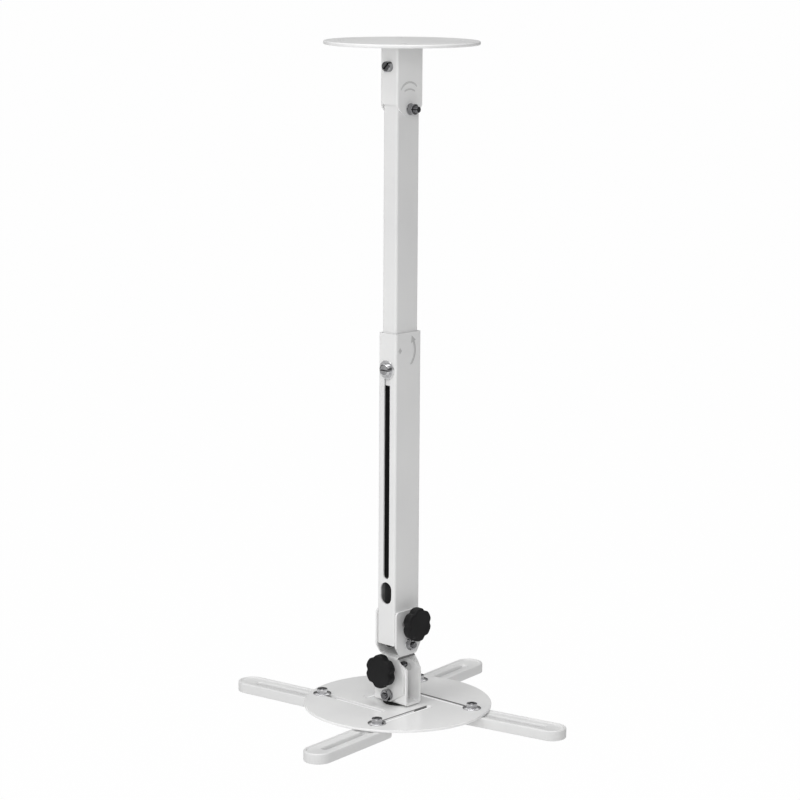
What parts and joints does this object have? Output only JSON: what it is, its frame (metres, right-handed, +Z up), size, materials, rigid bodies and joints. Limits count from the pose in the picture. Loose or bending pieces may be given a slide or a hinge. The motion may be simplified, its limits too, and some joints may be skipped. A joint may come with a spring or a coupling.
{
  "type": "projector ceiling mount",
  "caption": "Telescopic ceiling mount for a projector: round ceiling plate, slotted mast, two-axis knob-clamped joint and a slotted base disc with pivoting arms.",
  "frame": {"origin": "centre of the ceiling plate's upper face, which lies against the ceiling", "axes": "+Z up along the mast, +X out of the mast's wide face on the upper knob's side, -Y out of its narrow slotted face"},
  "size_m": [0.3396, 0.3345, 0.6496],
  "materials": {
    "white_coat": "satin powder coat",
    "zinc_steel": "zinc plated",
    "black_plastic": "moulded, fine grain"
  },
  "bodies": {
    "ceiling": {"ceiling_plate": "white_coat", "ceiling_bracket": "white_coat", "bracket_lock_screw": "zinc_steel", "ceiling_pivot_bolt": "zinc_steel", "ceiling_pivot_nut": "zinc_steel", "ceiling_pivot_washers": "zinc_steel"},
    "mast_inner": {"inner_tube": "white_coat", "slide_clamp_screw": "zinc_steel", "slide_clamp_washer": "zinc_steel", "slide_clamp_nut": "zinc_steel"},
    "mast_outer": {"outer_tube": "white_coat", "upper_clamp_bolt": "zinc_steel", "upper_clamp_washers": "zinc_steel"},
    "upper_knob": {"upper_knob": "black_plastic"},
    "gimbal": {"gimbal_upper_bracket": "white_coat", "gimbal_lower_bracket": "white_coat", "pitch_pivot_bolt": "zinc_steel", "pitch_pivot_nut": "zinc_steel", "pitch_pivot_washers": "zinc_steel", "roll_pivot_bolt": "zinc_steel", "roll_pivot_nut": "zinc_steel", "roll_pivot_washers": "zinc_steel", "lower_clamp_bolt": "zinc_steel", "lower_clamp_washers": "zinc_steel"},
    "lower_knob": {"lower_knob": "black_plastic"},
    "yoke": {"base_yoke": "white_coat", "swivel_disc": "black_plastic", "swivel_bolt": "zinc_steel", "swivel_washer": "zinc_steel", "swivel_nut": "zinc_steel"},
    "base": {"base_plate": "white_coat"},
    "bolt_left": {"arm_bolt_left": "zinc_steel", "arm_washer_left": "zinc_steel", "arm_nut_left": "zinc_steel"},
    "arm_left": {"arm_left": "white_coat"},
    "bolt_front": {"arm_bolt_front": "zinc_steel", "arm_washer_front": "zinc_steel", "arm_nut_front": "zinc_steel"},
    "arm_front": {"arm_front": "white_coat"},
    "bolt_right": {"arm_bolt_right": "zinc_steel", "arm_washer_right": "zinc_steel", "arm_nut_right": "zinc_steel"},
    "arm_right": {"arm_right": "white_coat"},
    "bolt_back": {"arm_bolt_back": "zinc_steel", "arm_washer_back": "zinc_steel", "arm_nut_back": "zinc_steel"},
    "arm_back": {"arm_back": "white_coat"}
  },
  "joints": [
    {"name": "ceiling_tilt", "type": "hinge", "parent": "ceiling", "child": "mast_inner", "pos_m": [0, 0, -0.0627], "axis": [-1, 0, 0], "range_deg": [0, 30]},
    {"name": "telescope", "type": "slide", "parent": "mast_inner", "child": "mast_outer", "axis": [0, 0, 1], "range_m": [0, 0.2]},
    {"name": "upper_knob_turn", "type": "hinge", "parent": "mast_outer", "child": "upper_knob", "pos_m": [0, 0, -0.5548], "axis": [1, 0, 0], "continuous": true},
    {"name": "pitch", "type": "hinge", "parent": "mast_outer", "child": "gimbal", "pos_m": [0, 0, -0.576], "axis": [1, 0, 0], "range_deg": [-15, 15]},
    {"name": "lower_knob_turn", "type": "hinge", "parent": "gimbal", "child": "lower_knob", "pos_m": [0, 0, -0.6013], "axis": [0, -1, 0], "continuous": true},
    {"name": "roll", "type": "hinge", "parent": "gimbal", "child": "yoke", "pos_m": [0, 0, -0.6271], "axis": [0, 1, 0], "range_deg": [-15, 15]},
    {"name": "swivel", "type": "hinge", "parent": "yoke", "child": "base", "pos_m": [0, 0, -0.637], "axis": [0, 0, 1], "continuous": true},
    {"name": "bolt_slide_left", "type": "slide", "parent": "base", "child": "bolt_left", "axis": [-1, 0, 0], "range_m": [-0.0625, 0]},
    {"name": "arm_turn_left", "type": "hinge", "parent": "bolt_left", "child": "arm_left", "pos_m": [-0.0705, -0.0326, -0.6396], "axis": [0, 0, 1], "range_deg": [-20, 60]},
    {"name": "bolt_slide_front", "type": "slide", "parent": "base", "child": "bolt_front", "axis": [0, -1, 0], "range_m": [-0.0565, 0.006]},
    {"name": "arm_turn_front", "type": "hinge", "parent": "bolt_front", "child": "arm_front", "pos_m": [0.0326, -0.0645, -0.6396], "axis": [0, 0, 1], "range_deg": [-20, 60]},
    {"name": "bolt_slide_right", "type": "slide", "parent": "base", "child": "bolt_right", "axis": [1, 0, 0], "range_m": [-0.059, 0.0035]},
    {"name": "arm_turn_right", "type": "hinge", "parent": "bolt_right", "child": "arm_right", "pos_m": [0.067, 0.0326, -0.6396], "axis": [0, 0, 1], "range_deg": [-20, 60]},
    {"name": "bolt_slide_back", "type": "slide", "parent": "base", "child": "bolt_back", "axis": [0, 1, 0], "range_m": [-0.059, 0.0035]},
    {"name": "arm_turn_back", "type": "hinge", "parent": "bolt_back", "child": "arm_back", "pos_m": [-0.0326, 0.067, -0.6396], "axis": [0, 0, 1], "range_deg": [-20, 60]}
  ]
}
